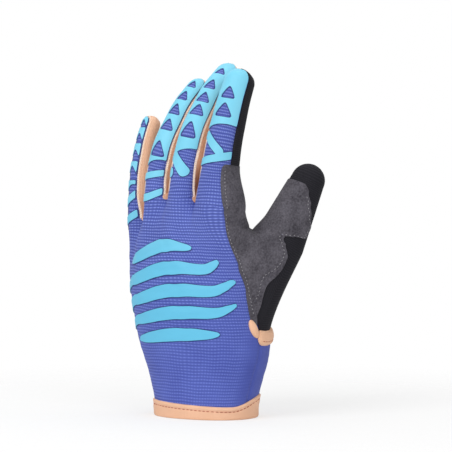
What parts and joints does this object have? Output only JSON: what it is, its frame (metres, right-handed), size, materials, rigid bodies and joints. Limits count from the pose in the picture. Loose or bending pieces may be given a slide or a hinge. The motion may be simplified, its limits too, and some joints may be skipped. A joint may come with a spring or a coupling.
{
  "type": "sailing glove",
  "caption": "Left-hand full-finger glove standing on its hem, with ribbed back, side strips, raised finger prints, suede thumb web and stretch bands that let fingers and thumb bend.",
  "frame": {"origin": "centre of the wrist opening, in the plane of the lower edge of the hem", "axes": "+Z from the wrist to the fingertips, +X towards the thumb side, +Y towards the palm, so the back of the hand faces -Y"},
  "size_m": [0.1222, 0.0663, 0.2125],
  "materials": {
    "peach_binding": "soft folded binding",
    "turquoise_print": "raised satin print",
    "grey_suede": "brushed suede",
    "black_palm": "matt synthetic leather",
    "peach_knit": "fine stretch knit",
    "blue_knit": "smooth stretch knit",
    "blue_rib": "ribbed stretch knit"
  },
  "bodies": {
    "hand": {"hem": "peach_binding", "back_panel": "blue_rib", "cuff_palm": "blue_knit", "palm_panel": "black_palm", "palm_binding": "peach_binding", "back_print": "turquoise_print", "thumb_web_patch": "grey_suede", "thenar_panel": "black_palm", "thumb_flex": "black_palm", "little_flex": "blue_rib", "ring_flex": "blue_rib", "middle_flex": "blue_rib", "index_flex": "blue_rib"},
    "thumb": {"thumb_lobe": "grey_suede", "thumb_side": "black_palm", "thumb_tip": "black_palm"},
    "little_root": {"little_root_back": "blue_rib", "little_root_palm": "black_palm", "little_root_strip_in": "peach_knit", "little_root_strip_out": "black_palm", "little_mid_flex": "blue_rib"},
    "little_end": {"little_back": "blue_rib", "little_palm": "black_palm", "little_strip": "peach_knit", "little_print": "turquoise_print"},
    "ring_root": {"ring_root_back": "blue_rib", "ring_root_palm": "black_palm", "ring_root_strip_in": "peach_knit", "ring_root_strip_out": "peach_knit", "ring_mid_flex": "blue_rib"},
    "ring_end": {"ring_back": "blue_rib", "ring_palm": "black_palm", "ring_strip": "peach_knit", "ring_print": "turquoise_print"},
    "middle_root": {"middle_root_back": "blue_rib", "middle_root_palm": "black_palm", "middle_root_strip_in": "peach_knit", "middle_root_strip_out": "peach_knit", "middle_mid_flex": "blue_rib"},
    "middle_end": {"middle_back": "blue_rib", "middle_palm": "black_palm", "middle_strip": "peach_knit", "middle_print": "turquoise_print"},
    "index_root": {"index_root_back": "blue_rib", "index_root_palm": "black_palm", "index_root_strip_in": "black_palm", "index_root_strip_out": "peach_knit", "index_mid_flex": "blue_rib", "index_web_tab": "grey_suede"},
    "index_end": {"index_back": "blue_rib", "index_palm": "black_palm", "index_strip": "black_palm", "index_print": "turquoise_print"}
  },
  "joints": [
    {"name": "little_knuckle", "type": "hinge", "parent": "hand", "child": "little_root", "pos_m": [-0.05208, 0.00873, 0.12124], "axis": [-0.9536, 0.2825, 0.1045], "range_deg": [-10, 50], "stiffness_Nm_per_rad": 0.05, "deforming": ["little_flex"]},
    {"name": "little_middle", "type": "hinge", "parent": "little_root", "child": "little_end", "pos_m": [-0.05204, 0.00996, 0.14523], "axis": [-0.9536, 0.2825, 0.1045], "range_deg": [-10, 55], "stiffness_Nm_per_rad": 0.05, "deforming": ["little_mid_flex"]},
    {"name": "ring_knuckle", "type": "hinge", "parent": "hand", "child": "ring_root", "pos_m": [-0.03343, -0.00072, 0.13265], "axis": [-0.9536, 0.2825, 0.1045], "range_deg": [-10, 50], "stiffness_Nm_per_rad": 0.05, "deforming": ["ring_flex"]},
    {"name": "ring_middle", "type": "hinge", "parent": "ring_root", "child": "ring_end", "pos_m": [-0.02776, 0.00225, 0.16233], "axis": [-0.9536, 0.2825, 0.1045], "range_deg": [-10, 55], "stiffness_Nm_per_rad": 0.05, "deforming": ["ring_mid_flex"]},
    {"name": "middle_knuckle", "type": "hinge", "parent": "hand", "child": "middle_root", "pos_m": [-0.01213, -0.00557, 0.13838], "axis": [-0.9536, 0.2825, 0.1045], "range_deg": [-10, 50], "stiffness_Nm_per_rad": 0.05, "deforming": ["middle_flex"]},
    {"name": "middle_middle", "type": "hinge", "parent": "middle_root", "child": "middle_end", "pos_m": [-0.00634, -0.00078, 0.17008], "axis": [-0.9536, 0.2825, 0.1045], "range_deg": [-10, 55], "stiffness_Nm_per_rad": 0.05, "deforming": ["middle_mid_flex"]},
    {"name": "index_knuckle", "type": "hinge", "parent": "hand", "child": "index_root", "pos_m": [0.01161, -0.00688, 0.13517], "axis": [-0.9536, 0.2825, 0.1045], "range_deg": [-10, 50], "stiffness_Nm_per_rad": 0.05, "deforming": ["index_flex"]},
    {"name": "index_middle", "type": "hinge", "parent": "index_root", "child": "index_end", "pos_m": [0.01593, -0.00576, 0.16406], "axis": [-0.9536, 0.2825, 0.1045], "range_deg": [-10, 55], "stiffness_Nm_per_rad": 0.05, "deforming": ["index_mid_flex"]},
    {"name": "thumb_swing", "type": "hinge", "parent": "hand", "child": "thumb", "pos_m": [0.0415, 0.016, 0.1045], "axis": [-0.95, -0.0429, 0.3094], "range_deg": [-8, 20], "stiffness_Nm_per_rad": 0.05, "deforming": ["thumb_flex"]}
  ]
}
